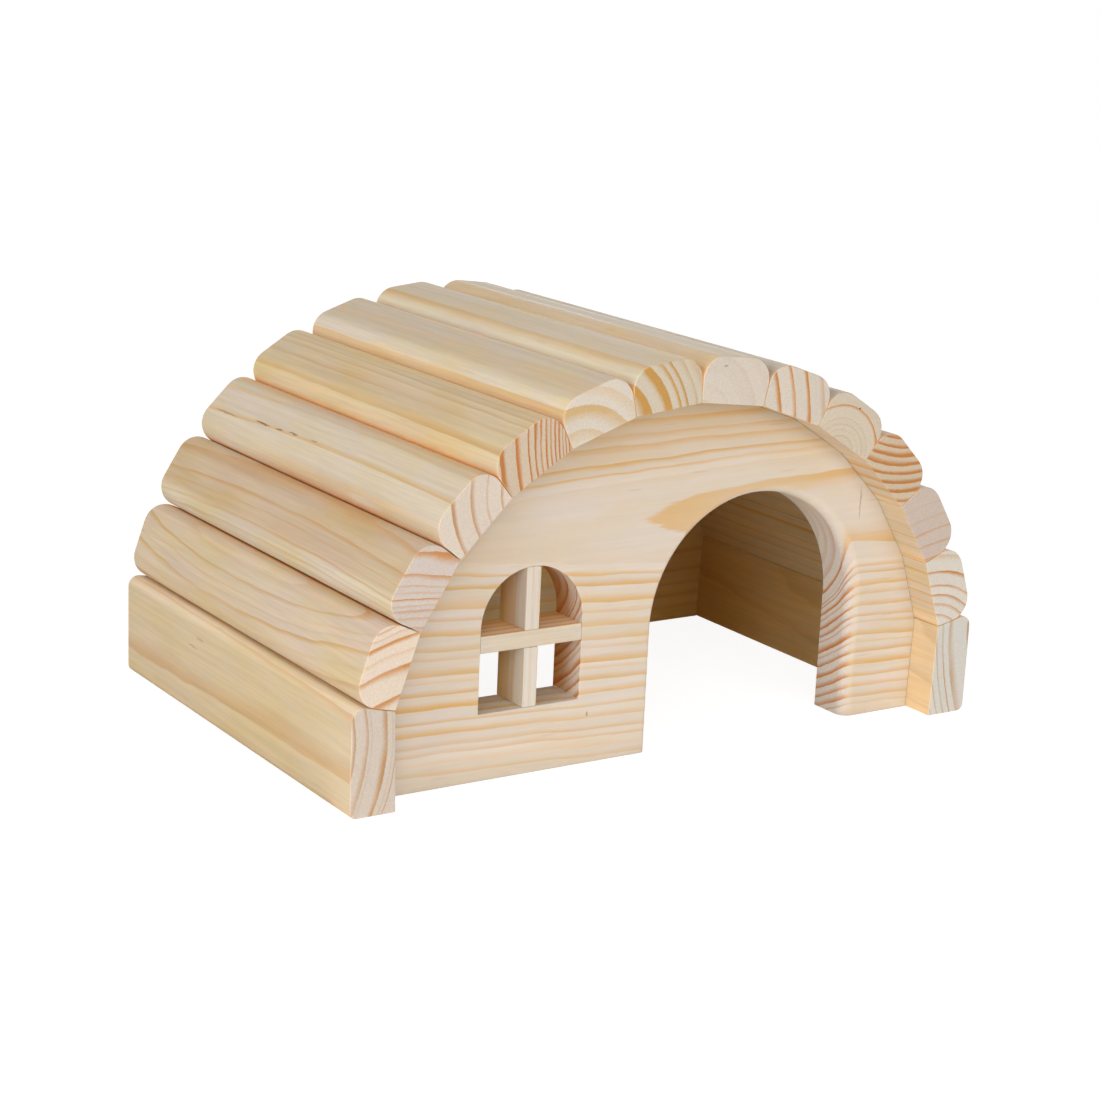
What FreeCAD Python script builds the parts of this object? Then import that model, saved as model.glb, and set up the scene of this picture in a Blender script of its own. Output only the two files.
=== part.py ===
import FreeCAD, Part

import math
import os

import Sketcher

# A small arched house for a hamster, glued up from pine.
#
# Two upright panels stand between two side boards. Twelve roof logs lie side by side on the
# flats of the panels' arched edge, their flanks bevelled towards the middle of the arch, and
# the first and the last log rest on the bevelled tops of the side boards. The front panel has
# an arched doorway, and an arched window with a half-lapped cross of two glazing bars.
#
# Frame: X to the right, the front at -Y, Z up from the floor, and the origin in the middle of
# the floor plan. Lengths are in millimetres and angles in degrees.

doc = FreeCAD.newDocument("HamsterHouse")


# ----------------------------------------------------------------------------------------
# Driving dimensions
# ----------------------------------------------------------------------------------------

DIMENSIONS = (
    ("house_depth", 128.0, "front to back length of the roof logs and side boards"),
    ("panel_thickness", 12.0, "thickness of the front and back panels"),
    ("front_overhang", 9.5, "how far the logs stand in front of the front panel"),
    ("back_overhang", 9.5, "how far the logs stand behind the back panel"),
    ("roof_radius", 85.4, "from the middle of the arch to the inner corners of the logs"),
    ("arch_centre_height", 6.8, "height of the middle of the arch above the floor"),
    ("roof_start_angle", 12.4, "slope of the side boards' bevelled tops"),
    ("log_count", 12, "number of logs in the roof"),
    ("log_thickness", 12.0, "from a log's flat base to its crown"),
    ("log_edge_radius", 6.0, "rounding of a log's two outer edges"),
    ("seam_relief_angle", 0.9, "how far a log's flank leans away from the seam, outwards"),
    ("board_thickness", 11.6, "thickness of a side board along its bevelled top"),
    ("board_lean", 1.8, "lean of a side board's inner face"),
    ("board_top_radius", 3.0, "rounding of a side board's outer top edge"),
    ("board_foot_radius", 2.0, "rounding of a side board's outer bottom edge"),
    ("end_arris", 0.4, "sanded arris round the ends of the logs and side boards"),
    ("door_centre", 27.75, "from the middle of the house to the right, to the doorway"),
    ("door_width", 65.1, "width of the doorway, and twice the radius of its arch"),
    ("door_spring_height", 32.5, "height at which the doorway's arch springs"),
    ("door_edge_radius", 2.0, "rounding of the doorway's front edge"),
    ("window_centre", 40.4, "from the middle of the house to the left, to the window"),
    ("window_width", 29.2, "width of the window, and twice the radius of its arch"),
    ("window_sill_height", 17.3, "height of the window's sill"),
    ("window_spring_height", 38.5, "height at which the window's arch springs"),
    ("upright_bar_width", 4.1, "width of the upright glazing bar"),
    ("level_bar_height", 4.4, "height of the level glazing bar"),
    ("bar_crossing_height", 34.8, "height at which the glazing bars cross"),
)

sheet = doc.addObject("Spreadsheet::Sheet", "Dimensions")
for row, (alias, number, meaning) in enumerate(DIMENSIONS, start=1):
    sheet.set(f"A{row}", meaning)
    sheet.set(f"B{row}", str(number))
    sheet.setAlias(f"B{row}", alias)
doc.recompute()


def worked_out(formula):
    """The number that a formula over the sheet gives now."""
    result = sheet.evalExpression(formula)
    return float(getattr(result, "Value", result))


# Formulas that more than one piece uses. Sketches and placements are tied to the formulas,
# and worked_out() gives their present value where an edge is first drawn.

LOG_PITCH = "((180 - 2 * Dimensions.roof_start_angle) / Dimensions.log_count)"
LOG_BASE_WIDTH = f"2 * Dimensions.roof_radius * sin({LOG_PITCH} / 2)"
SHOULDER_X = "Dimensions.roof_radius * cos(Dimensions.roof_start_angle)"
SHOULDER_Z = (
    "Dimensions.arch_centre_height"
    " + Dimensions.roof_radius * sin(Dimensions.roof_start_angle)"
)
FOOT_X = f"{SHOULDER_X} - ({SHOULDER_Z}) * tan(Dimensions.board_lean)"
FRONT_PANEL_INNER_Y = (
    "Dimensions.front_overhang + Dimensions.panel_thickness - Dimensions.house_depth / 2"
)
BACK_PANEL_OUTER_Y = "Dimensions.house_depth / 2 - Dimensions.back_overhang"
WINDOW_X = "-Dimensions.window_centre"


# ----------------------------------------------------------------------------------------
# Sketching on the front plane
# ----------------------------------------------------------------------------------------

# The sketcher counts its own axes down from -1 and the points of an edge up from 1. Its
# origin is the start of the X axis.
X_AXIS, Z_AXIS = range(-1, -3, -1)
START, END, CENTRE = range(1, 4)
ORIGIN = (X_AXIS, START)

TO_VIEWER = FreeCAD.Vector(0, 0, 1)


def front_sketch(body, name):
    """A sketch whose axes are the body's X and Z, and whose normal points to the front."""
    plane = next(item for item in body.Origin.OriginFeatures if item.Role == "XZ_Plane")
    sketch = body.newObject("Sketcher::SketchObject", f"{body.Label}_{name}")
    sketch.AttachmentSupport = (plane, [""])
    sketch.MapMode = "FlatFace"
    return sketch


def point(x, z):
    return FreeCAD.Vector(x, z, 0)


def line(sketch, start, end):
    return sketch.addGeometry(Part.LineSegment(point(*start), point(*end)), False)


def arc(sketch, centre, radius, from_angle, to_angle):
    circle = Part.Circle(point(*centre), TO_VIEWER, radius)
    return sketch.addGeometry(Part.ArcOfCircle(circle, from_angle, to_angle), False)


def polygon(sketch, corners):
    """Straight edges from each corner to the next and back to the first."""
    edges = [
        line(sketch, start, end) for start, end in zip(corners, corners[1:] + corners[:1])
    ]
    for edge, following in zip(edges, edges[1:] + edges[:1]):
        relate(sketch, "Coincident", edge, END, following, START)
    return edges


def relate(sketch, *terms):
    """A constraint without a size, such as Coincident or Vertical."""
    sketch.addConstraint(Sketcher.Constraint(*terms))


def measure(sketch, name, formula, kind, *terms):
    """A constraint with a size, named, and tied to a formula over the sheet."""
    number = worked_out(formula)
    if kind == "Angle":
        number = math.radians(number)
    index = sketch.addConstraint(Sketcher.Constraint(kind, *terms, number))
    sketch.renameConstraint(index, name)
    sketch.setExpression(f"Constraints.{name}", formula)


def rectangle(sketch, left, bottom, width, height):
    """A rectangle placed by formulas for its lower left corner and its two sides."""
    x = worked_out(left)
    z = worked_out(bottom)
    far_x = x + worked_out(width)
    far_z = z + worked_out(height)
    sill, right_side, head, left_side = polygon(
        sketch, [(x, z), (far_x, z), (far_x, far_z), (x, far_z)]
    )
    for edge in (sill, head):
        relate(sketch, "Horizontal", edge)
    for edge in (right_side, left_side):
        relate(sketch, "Vertical", edge)
    measure(sketch, "left", left, "DistanceX", *ORIGIN, sill, START)
    measure(sketch, "bottom", bottom, "DistanceY", *ORIGIN, sill, START)
    measure(sketch, "width", width, "DistanceX", sill, START, sill, END)
    measure(sketch, "height", height, "DistanceY", right_side, START, right_side, END)


# ----------------------------------------------------------------------------------------
# Features
# ----------------------------------------------------------------------------------------


def new_body(label):
    body = doc.addObject("PartDesign::Body", label)
    body.Label = label
    return body


def padded(body, sketch, length, both_ways=False):
    """Give a closed outline its length, towards the front or half to each side."""
    pad = body.newObject("PartDesign::Pad", f"{body.Label}_pad")
    pad.Profile = sketch
    pad.SideType = "Symmetric" if both_ways else "One side"
    pad.setExpression("Length", length)
    doc.recompute()
    return pad


def pocketed(body, sketch, depth, towards_front):
    """Cut an outline into the body, and make sure that the cut took something away."""
    volume_before = body.Shape.Volume
    pocket = body.newObject("PartDesign::Pocket", f"{sketch.Label}_cut")
    pocket.Profile = sketch
    pocket.Reversed = towards_front
    pocket.setExpression("Length", depth)
    doc.recompute()
    if body.Shape.Volume >= volume_before:
        raise RuntimeError(f"{pocket.Label} cuts nothing away")
    return pocket


def lengthwise_edge(shape, corner):
    """The name of the front-to-back edge that passes nearest to a corner of the profile."""
    x, z = corner
    nearest_name = None
    nearest_distance = math.inf
    for number, edge in enumerate(shape.Edges, start=1):
        box = edge.BoundBox
        distance = math.hypot(box.Center.x - x, box.Center.z - z)
        if box.YLength > box.XLength + box.ZLength and distance < nearest_distance:
            nearest_name = f"Edge{number}"
            nearest_distance = distance
    return nearest_name


def rounded(body, feature, corners, radius):
    """Round the lengthwise edges that stand on these corners of the profile."""
    fillet = body.newObject("PartDesign::Fillet", f"{feature.Label}_round")
    fillet.Base = (feature, [lengthwise_edge(feature.Shape, corner) for corner in corners])
    fillet.setExpression("Radius", radius)
    doc.recompute()
    return fillet


def sanded_ends(body, feature):
    """Take off the sharp arris all round the front end and the back end."""
    half_depth = worked_out("Dimensions.house_depth / 2")
    ends = [
        f"Face{number}"
        for number, face in enumerate(feature.Shape.Faces, start=1)
        if math.isclose(abs(face.CenterOfMass.y), half_depth)
    ]
    chamfer = body.newObject("PartDesign::Chamfer", f"{body.Label}_arris")
    chamfer.Base = (feature, ends)
    chamfer.setExpression("Size", "Dimensions.end_arris")
    doc.recompute()


# ----------------------------------------------------------------------------------------
# Panels: one blank, sawn twice, with a flat on its arched edge for each log to be glued to
# ----------------------------------------------------------------------------------------


def panel_blank(label, inner_y):
    body = new_body(label)
    outline = front_sketch(body, "outline")
    log_count = round(worked_out("Dimensions.log_count"))
    radius = worked_out("Dimensions.roof_radius")
    centre_z = worked_out("Dimensions.arch_centre_height")
    first_lean = math.radians(worked_out("Dimensions.roof_start_angle - 90"))
    pitch = math.radians(worked_out(LOG_PITCH))
    foot_x = worked_out(FOOT_X)

    corners = []
    for number in range(log_count + 1):
        lean = first_lean + number * pitch
        corners.append((radius * math.sin(lean), centre_z + radius * math.cos(lean)))
    edges = polygon(outline, corners + [(foot_x, 0), (-foot_x, 0)])
    seats = edges[:log_count]
    floor_edge = edges[-2]
    left_side = edges[-1]

    arch = outline.addGeometry(Part.Circle(point(0, centre_z), TO_VIEWER, radius), True)
    relate(outline, "PointOnObject", arch, CENTRE, Z_AXIS)
    measure(
        outline, "arch_centre_height", "Dimensions.arch_centre_height",
        "DistanceY", *ORIGIN, arch, CENTRE,
    )
    measure(outline, "arch_radius", "Dimensions.roof_radius", "Radius", arch)

    for seat in seats:
        relate(outline, "PointOnObject", seat, START, arch)
    for seat in seats[1:]:
        relate(outline, "Equal", seats[0], seat)
    measure(outline, "shoulder_height", SHOULDER_Z, "DistanceY", *ORIGIN, seats[0], START)
    relate(outline, "Symmetric", seats[0], START, seats[-1], END, Z_AXIS)

    relate(outline, "Symmetric", floor_edge, START, floor_edge, END, *ORIGIN)
    relate(outline, "Horizontal", floor_edge)
    measure(outline, "side_lean", "90 + Dimensions.board_lean", "Angle", left_side)

    padded(body, outline, "Dimensions.panel_thickness")
    body.setExpression("Placement.Base.y", inner_y)
    return body


def arched_opening(body, name, centre_x, width, spring_z, sill_z=None):
    """Cut a round-headed opening through a panel, down to a sill or down to the floor."""
    sketch = front_sketch(body, name)
    middle = worked_out(centre_x)
    radius = worked_out(f"{width} / 2")
    spring = worked_out(spring_z)
    bottom = worked_out(sill_z) if sill_z else 0.0

    left_jamb = line(sketch, (middle - radius, spring), (middle - radius, bottom))
    sill = line(sketch, (middle - radius, bottom), (middle + radius, bottom))
    right_jamb = line(sketch, (middle + radius, bottom), (middle + radius, spring))
    head = arc(sketch, (middle, spring), radius, 0, math.pi)
    relate(sketch, "Coincident", left_jamb, END, sill, START)
    relate(sketch, "Coincident", sill, END, right_jamb, START)
    relate(sketch, "Tangent", right_jamb, END, head, START)
    relate(sketch, "Tangent", head, END, left_jamb, START)
    relate(sketch, "Vertical", left_jamb)
    relate(sketch, "Vertical", right_jamb)
    relate(sketch, "Horizontal", sill)
    measure(sketch, "head_radius", f"{width} / 2", "Radius", head)
    measure(sketch, "centre_x", centre_x, "DistanceX", *ORIGIN, head, CENTRE)
    measure(sketch, "spring_height", spring_z, "DistanceY", *ORIGIN, head, CENTRE)
    if sill_z:
        measure(sketch, "sill_height", sill_z, "DistanceY", *ORIGIN, sill, START)
    else:
        relate(sketch, "PointOnObject", sill, START, X_AXIS)
    return pocketed(body, sketch, "Dimensions.panel_thickness", towards_front=True)


def eased_mouth(body, opening, centre_x, width, radius):
    """Round the front edge of an opening, up one jamb, over its arch and down the other."""
    middle = worked_out(centre_x)
    half_width = worked_out(f"{width} / 2")
    front_y = -worked_out("Dimensions.panel_thickness")
    mouth = []
    for number, edge in enumerate(opening.Shape.Edges, start=1):
        in_front_face = all(math.isclose(end.Y, front_y) for end in edge.Vertexes)
        on_a_jamb = all(
            math.isclose(abs(end.X - middle), half_width) for end in edge.Vertexes
        )
        if in_front_face and on_a_jamb:
            mouth.append(f"Edge{number}")
    fillet = body.newObject("PartDesign::Fillet", f"{opening.Label}_round")
    fillet.Base = (opening, mouth)
    fillet.setExpression("Radius", radius)
    doc.recompute()


DOOR_X = "Dimensions.door_centre"
DOOR_WIDTH = "Dimensions.door_width"

front_panel = panel_blank("front_panel", FRONT_PANEL_INNER_Y)
arched_opening(
    front_panel,
    "window",
    centre_x=WINDOW_X,
    width="Dimensions.window_width",
    spring_z="Dimensions.window_spring_height",
    sill_z="Dimensions.window_sill_height",
)
doorway = arched_opening(
    front_panel,
    "doorway",
    centre_x=DOOR_X,
    width=DOOR_WIDTH,
    spring_z="Dimensions.door_spring_height",
)
eased_mouth(front_panel, doorway, DOOR_X, DOOR_WIDTH, "Dimensions.door_edge_radius")
panel_blank("back_panel", BACK_PANEL_OUTER_Y)


# ----------------------------------------------------------------------------------------
# Glazing bars: as deep as the front panel, each notched to half its depth at the crossing
# ----------------------------------------------------------------------------------------

BAR_WIDTH = "Dimensions.upright_bar_width"
BAR_HEIGHT = "Dimensions.level_bar_height"
LAP_LEFT = f"{WINDOW_X} - {BAR_WIDTH} / 2"
LAP_BOTTOM = f"Dimensions.bar_crossing_height - {BAR_HEIGHT} / 2"
LAP_DEPTH = "Dimensions.panel_thickness / 2"


def level_bar():
    """Reaches from jamb to jamb; its front runs through, and its back is notched."""
    body = new_body("window_bar_horizontal")
    outline = front_sketch(body, "outline")
    rectangle(
        outline,
        left=f"{WINDOW_X} - Dimensions.window_width / 2",
        bottom=LAP_BOTTOM,
        width="Dimensions.window_width",
        height=BAR_HEIGHT,
    )
    padded(body, outline, "Dimensions.panel_thickness")

    notch = front_sketch(body, "notch")
    rectangle(notch, LAP_LEFT, LAP_BOTTOM, BAR_WIDTH, BAR_HEIGHT)
    pocketed(body, notch, LAP_DEPTH, towards_front=True)
    body.setExpression("Placement.Base.y", FRONT_PANEL_INNER_Y)


def upright_bar():
    """Stands on the sill, notched at the front, its top end sawn to the window's arch."""
    body = new_body("window_bar_vertical")
    outline = front_sketch(body, "outline")
    middle = worked_out(WINDOW_X)
    half_width = worked_out(f"{BAR_WIDTH} / 2")
    sill_z = worked_out("Dimensions.window_sill_height")
    spring_z = worked_out("Dimensions.window_spring_height")
    arch_radius = worked_out("Dimensions.window_width / 2")
    half_span = math.asin(half_width / arch_radius)
    corner_z = spring_z + arch_radius * math.cos(half_span)

    left_side = line(outline, (middle - half_width, corner_z), (middle - half_width, sill_z))
    foot = line(outline, (middle - half_width, sill_z), (middle + half_width, sill_z))
    right_side = line(outline, (middle + half_width, sill_z), (middle + half_width, corner_z))
    crown = arc(
        outline, (middle, spring_z), arch_radius,
        math.pi / 2 - half_span, math.pi / 2 + half_span,
    )
    relate(outline, "Coincident", left_side, END, foot, START)
    relate(outline, "Coincident", foot, END, right_side, START)
    relate(outline, "Coincident", right_side, END, crown, START)
    relate(outline, "Coincident", crown, END, left_side, START)
    relate(outline, "Horizontal", foot)
    relate(outline, "Vertical", left_side)
    relate(outline, "Vertical", right_side)
    measure(outline, "left", LAP_LEFT, "DistanceX", *ORIGIN, foot, START)
    measure(outline, "width", BAR_WIDTH, "DistanceX", foot, START, foot, END)
    measure(
        outline, "sill_height", "Dimensions.window_sill_height",
        "DistanceY", *ORIGIN, foot, START,
    )
    measure(outline, "arch_x", WINDOW_X, "DistanceX", *ORIGIN, crown, CENTRE)
    measure(
        outline, "arch_height", "Dimensions.window_spring_height",
        "DistanceY", *ORIGIN, crown, CENTRE,
    )
    measure(outline, "arch_radius", "Dimensions.window_width / 2", "Radius", crown)
    padded(body, outline, "Dimensions.panel_thickness")

    notch = front_sketch(body, "notch")
    notch.setExpression("AttachmentOffset.Base.z", "Dimensions.panel_thickness")
    rectangle(notch, LAP_LEFT, LAP_BOTTOM, BAR_WIDTH, BAR_HEIGHT)
    pocketed(body, notch, LAP_DEPTH, towards_front=False)
    body.setExpression("Placement.Base.y", FRONT_PANEL_INNER_Y)


level_bar()
upright_bar()


# ----------------------------------------------------------------------------------------
# Side boards: upright outside, leaning inside, with a bevelled top that carries a log
# ----------------------------------------------------------------------------------------

BOARD_OUTER_X = f"{SHOULDER_X} + Dimensions.board_thickness"
BOARD_OUTER_Z = (
    f"{SHOULDER_Z} + Dimensions.board_thickness * tan(Dimensions.roof_start_angle)"
)


def side_board(label, turn_degrees):
    """The two boards are the same piece, one of them turned about the upright."""
    body = new_body(label)
    profile = front_sketch(body, "profile")
    inner_top = (worked_out(SHOULDER_X), worked_out(SHOULDER_Z))
    outer_top = (worked_out(BOARD_OUTER_X), worked_out(BOARD_OUTER_Z))
    outer_foot = (worked_out(BOARD_OUTER_X), 0)
    inner_foot = (worked_out(FOOT_X), 0)
    bevel, outer_face, floor_edge, inner_face = polygon(
        profile, [inner_top, outer_top, outer_foot, inner_foot]
    )
    measure(profile, "shoulder_x", SHOULDER_X, "DistanceX", *ORIGIN, bevel, START)
    measure(profile, "shoulder_height", SHOULDER_Z, "DistanceY", *ORIGIN, bevel, START)
    measure(profile, "bevel_slope", "Dimensions.roof_start_angle", "Angle", bevel)
    measure(profile, "outer_x", BOARD_OUTER_X, "DistanceX", *ORIGIN, outer_face, END)
    measure(profile, "inner_lean", "90 - Dimensions.board_lean", "Angle", inner_face)
    relate(profile, "Vertical", outer_face)
    relate(profile, "PointOnObject", floor_edge, START, X_AXIS)
    relate(profile, "PointOnObject", floor_edge, END, X_AXIS)

    block = padded(body, profile, "Dimensions.house_depth", both_ways=True)
    top_rounded = rounded(body, block, [outer_top], "Dimensions.board_top_radius")
    both_rounded = rounded(body, top_rounded, [outer_foot], "Dimensions.board_foot_radius")
    sanded_ends(body, both_rounded)
    body.Placement.Rotation = FreeCAD.Rotation(FreeCAD.Vector(0, 0, 1), turn_degrees)


side_board("side_board_left", turn_degrees=180)
side_board("side_board_right", turn_degrees=0)


# ----------------------------------------------------------------------------------------
# Roof logs: all of one section, numbered over the arch from left to right
# ----------------------------------------------------------------------------------------

FLANK_LEAN = f"({LOG_PITCH} / 2 - Dimensions.seam_relief_angle)"
CROWN_WIDTH = f"{LOG_BASE_WIDTH} + 2 * Dimensions.log_thickness * tan{FLANK_LEAN}"
SEAT_DISTANCE = f"Dimensions.roof_radius * cos({LOG_PITCH} / 2)"


def roof_log(number):
    """A flat-bottomed half-round bar, laid on the arch at its place in the row."""
    body = new_body(f"roof_log_{number:02d}")
    profile = front_sketch(body, "profile")
    half_base = worked_out(LOG_BASE_WIDTH) / 2
    half_crown = worked_out(CROWN_WIDTH) / 2
    crown_z = worked_out("Dimensions.log_thickness")
    crown_corners = [(half_crown, crown_z), (-half_crown, crown_z)]
    base, right_flank, crown, left_flank = polygon(
        profile, [(-half_base, 0), (half_base, 0)] + crown_corners
    )
    relate(profile, "Horizontal", base)
    relate(profile, "Symmetric", base, START, base, END, *ORIGIN)
    relate(profile, "Symmetric", crown, START, crown, END, Z_AXIS)
    measure(profile, "base_width", LOG_BASE_WIDTH, "DistanceX", base, START, base, END)
    measure(profile, "flank_lean", f"90 - {FLANK_LEAN}", "Angle", right_flank)
    measure(
        profile, "thickness", "Dimensions.log_thickness",
        "DistanceY", right_flank, START, right_flank, END,
    )

    block = padded(body, profile, "Dimensions.house_depth", both_ways=True)
    log = rounded(body, block, crown_corners, "Dimensions.log_edge_radius")
    sanded_ends(body, log)

    lean = f"({number} - 0.5) * {LOG_PITCH} + Dimensions.roof_start_angle - 90"
    y_axis = FreeCAD.Vector(0, 1, 0)
    body.Placement.Rotation = FreeCAD.Rotation(y_axis, worked_out(lean))
    body.setExpression("Placement.Rotation.Angle", lean)
    body.setExpression("Placement.Base.x", f"{SEAT_DISTANCE} * sin({lean})")
    body.setExpression(
        "Placement.Base.z",
        f"Dimensions.arch_centre_height + {SEAT_DISTANCE} * cos({lean})",
    )


for log_number in range(1, round(worked_out("Dimensions.log_count")) + 1):
    roof_log(log_number)


# ----------------------------------------------------------------------------------------
# Check everything, then write one file for each piece
# ----------------------------------------------------------------------------------------

doc.recompute()
for item in doc.Objects:
    if "Invalid" in item.State or "Error" in item.State:
        raise RuntimeError(f"{item.Label} is {item.State}")

pieces = [item for item in doc.Objects if item.TypeId == "PartDesign::Body"]
for piece in pieces:
    shape = piece.Shape
    if shape.isNull() or not shape.isValid() or len(shape.Solids) != 1:
        raise RuntimeError(f"{piece.Label} is not one valid solid")

os.makedirs("parts", exist_ok=True)
for piece in pieces:
    piece.Shape.exportStep(f"parts/{piece.Label}.step")
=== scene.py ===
import math

import bmesh
import bpy
from mathutils import Matrix, Vector


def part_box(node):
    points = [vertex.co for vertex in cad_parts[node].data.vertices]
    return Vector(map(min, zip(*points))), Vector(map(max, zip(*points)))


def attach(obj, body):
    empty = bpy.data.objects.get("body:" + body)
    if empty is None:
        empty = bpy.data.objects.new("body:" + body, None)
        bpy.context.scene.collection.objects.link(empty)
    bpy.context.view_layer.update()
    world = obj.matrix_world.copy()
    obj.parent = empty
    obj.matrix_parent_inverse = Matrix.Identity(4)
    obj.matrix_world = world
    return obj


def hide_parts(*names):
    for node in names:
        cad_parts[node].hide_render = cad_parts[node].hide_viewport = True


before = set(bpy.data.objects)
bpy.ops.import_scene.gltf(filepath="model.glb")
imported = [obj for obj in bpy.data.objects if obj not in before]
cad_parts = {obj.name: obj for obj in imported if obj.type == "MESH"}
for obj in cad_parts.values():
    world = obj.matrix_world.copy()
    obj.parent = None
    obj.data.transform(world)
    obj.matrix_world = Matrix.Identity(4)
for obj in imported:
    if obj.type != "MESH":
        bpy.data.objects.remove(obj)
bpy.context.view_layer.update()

MM = 0.001

# ------------------------------
# Front panel
#
# A planed pine board, its grain from side to side. Its top is sawn to twelve flats, one for
# each roof log. The doorway and the window are cut through it, and the doorway's front edge
# is sanded round by hand: hardly at all down the left jamb, and most down the right one.
# ------------------------------

# The corners between the roof's flats lie on one circle. The lowest is also the shoulder, from
# which the panel's side leans in a little towards the floor.
ROOF_RADIUS = 85.4 * MM
ROOF_CENTRE_Z = 6.8 * MM
ROOF_START_ANGLE = math.radians(12.4)
LOG_COUNT = 12
LOG_PITCH = (math.pi - 2 * ROOF_START_ANGLE) / LOG_COUNT
SHOULDER_X = ROOF_RADIUS * math.cos(ROOF_START_ANGLE)
SHOULDER_Z = ROOF_CENTRE_Z + ROOF_RADIUS * math.sin(ROOF_START_ANGLE)
SIDE_LEAN = math.radians(1.8)
PANEL_ARRIS = 0.25 * MM

# How far a cut runs out past the wood, how near counts as touching, and how much of a normal
# has to point up or down for a level face.
OVERCUT = 1.0 * MM
TOUCHING = 0.01 * MM
LEVEL = 0.99

# Edges sharper than the first angle are sanded; up to the second, a surface looks round.
SHARP_ANGLE = math.radians(40)
ROUND_ANGLE = math.radians(35)

panel_low, panel_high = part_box("front_panel")
FRONT_Y = panel_low.y
PANEL_BACK_Y = panel_high.y

ARCH_STEPS = 128
DOOR_X = 27.75 * MM
DOOR_RADIUS = 32.55 * MM
DOOR_SPRING_Z = 32.5 * MM
DOOR_FOOT_Z = -5.0 * MM
DOOR_ROUNDING = 2.0 * MM
LEAST_ROUNDING = 1.1 * MM
MOST_ROUNDING = 3.4 * MM

WINDOW_X = -40.4 * MM
WINDOW_RADIUS = 14.6 * MM
WINDOW_SILL_Z = 17.3 * MM
WINDOW_SPRING_Z = 38.5 * MM


def seat_of(number):
    """Where a log sits: its lean to the right, its way outwards, and its flat seat's middle."""
    lean = (number - 0.5) * LOG_PITCH + ROOF_START_ANGLE - math.pi / 2
    distance = ROOF_RADIUS * math.cos(LOG_PITCH / 2)
    outward = Vector((math.sin(lean), 0, math.cos(lean)))
    return lean, outward, Vector((0, 0, ROOF_CENTRE_Z)) + distance * outward


def planed_block(name, low, high):
    """A square block of wood that fills the space between two corners."""
    bpy.ops.object.select_all(action="DESELECT")
    bpy.ops.mesh.primitive_cube_add(size=1, location=(low + high) / 2, scale=high - low)
    block = bpy.context.object
    block.name = name
    bpy.ops.object.transform_apply(location=True, rotation=True, scale=True)
    return block


def saw(block, point, outward):
    """Saw off all that lies outside a plane."""
    bpy.context.view_layer.objects.active = block
    bpy.ops.object.mode_set(mode="EDIT")
    bpy.ops.mesh.select_all(action="SELECT")
    bpy.ops.mesh.bisect(plane_co=point, plane_no=outward, use_fill=True, clear_outer=True)
    bpy.ops.object.mode_set(mode="OBJECT")


def round_edges(block, chosen, radius, segments):
    """Round the edges for which chosen(start, end) is true."""
    bpy.context.view_layer.objects.active = block
    bpy.ops.object.mode_set(mode="EDIT")
    bpy.ops.mesh.select_mode(type="EDGE")
    bpy.ops.mesh.select_all(action="DESELECT")
    mesh = bmesh.from_edit_mesh(block.data)
    for edge in mesh.edges:
        start, end = edge.verts
        edge.select_set(chosen(start.co, end.co))
    bmesh.update_edit_mesh(block.data)
    bpy.ops.mesh.bevel(offset=radius, segments=segments, affect="EDGES", clamp_overlap=False)
    bpy.ops.object.mode_set(mode="OBJECT")


def open_faces(block, chosen):
    """Open a piece for editing, with the faces selected for which chosen(normal) is true."""
    bpy.context.view_layer.objects.active = block
    bpy.ops.object.mode_set(mode="EDIT")
    bpy.ops.mesh.select_mode(type="FACE")
    bpy.ops.mesh.select_all(action="DESELECT")
    mesh = bmesh.from_edit_mesh(block.data)
    for face in mesh.faces:
        face.select_set(chosen(face.normal))
    bmesh.update_edit_mesh(block.data)


def arched_plug(x, radius, spring_z, sill_z, front_y, back_y):
    """The piece of wood that drops out when a round-headed opening is cut."""
    middle = (x, (front_y + back_y) / 2, spring_z)
    bpy.ops.object.select_all(action="DESELECT")
    bpy.ops.mesh.primitive_cylinder_add(
        vertices=ARCH_STEPS, radius=radius, depth=back_y - front_y,
        location=middle, rotation=(math.pi / 2, 0, 0),
    )
    plug = bpy.context.object
    bpy.ops.object.transform_apply(location=True, rotation=True, scale=True)
    saw(plug, middle, (0, 0, -1))
    open_faces(plug, lambda normal: normal.z < -LEVEL)
    bpy.ops.mesh.extrude_region_move(
        TRANSFORM_OT_translate={"value": (0, 0, sill_z - spring_z)}
    )
    bpy.ops.object.mode_set(mode="OBJECT")
    return plug


def finish_with(block, kind, **settings):
    """Put a modifier on a piece and apply it."""
    modifier = block.modifiers.new(kind.title(), kind)
    for name, value in settings.items():
        setattr(modifier, name, value)
    bpy.ops.object.select_all(action="DESELECT")
    block.select_set(True)
    bpy.context.view_layer.objects.active = block
    bpy.ops.object.modifier_apply(modifier=modifier.name)


def cut_with(block, plug, operation="DIFFERENCE"):
    """Cut a plug out of a piece, or keep only what lies inside the plug, which then goes."""
    finish_with(block, "BOOLEAN", operation=operation, solver="EXACT", object=plug)
    bpy.data.objects.remove(plug)


def sanded(block, arris):
    """Take the sharpness off every edge that is still square, and smooth what is round."""
    finish_with(
        block, "BEVEL", width=arris, segments=2, limit_method="ANGLE",
        angle_limit=SHARP_ANGLE, use_clamp_overlap=True,
    )
    bpy.ops.object.shade_smooth_by_angle(angle=ROUND_ANGLE)
    finish_with(block, "WEIGHTED_NORMAL", keep_sharp=True)


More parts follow.
